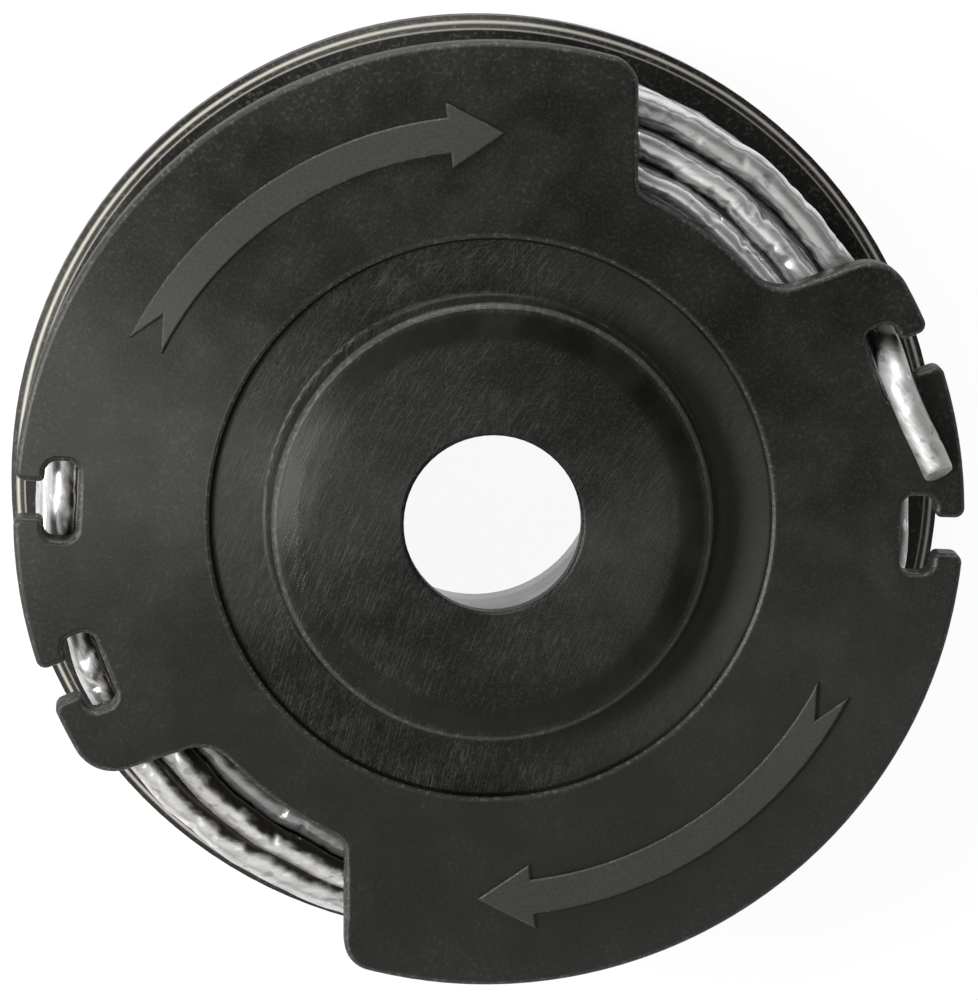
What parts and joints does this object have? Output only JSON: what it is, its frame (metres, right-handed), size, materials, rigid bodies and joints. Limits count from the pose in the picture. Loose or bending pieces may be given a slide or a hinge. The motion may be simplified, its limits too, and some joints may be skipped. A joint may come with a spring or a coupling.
{
  "type": "trimmer line spool",
  "caption": "Black moulded spool with two flanges, cut-away windows, line notches and raised arrows, wound with grey trimmer line for a string trimmer head.",
  "frame": {"origin": "on the spool's axis, at the outer face of the rear flange", "axes": "+Z along the axis towards the flange with the arrows, +X towards the side with the free line end"},
  "size_m": [0.0586, 0.0586, 0.0225],
  "materials": {
    "spool_plastic": "satin black moulding",
    "line_nylon": "silver grey twisted nylon"
  },
  "bodies": {
    "root": {"spool_body": "spool_plastic", "trimmer_line": "line_nylon"}
  },
  "joints": []
}
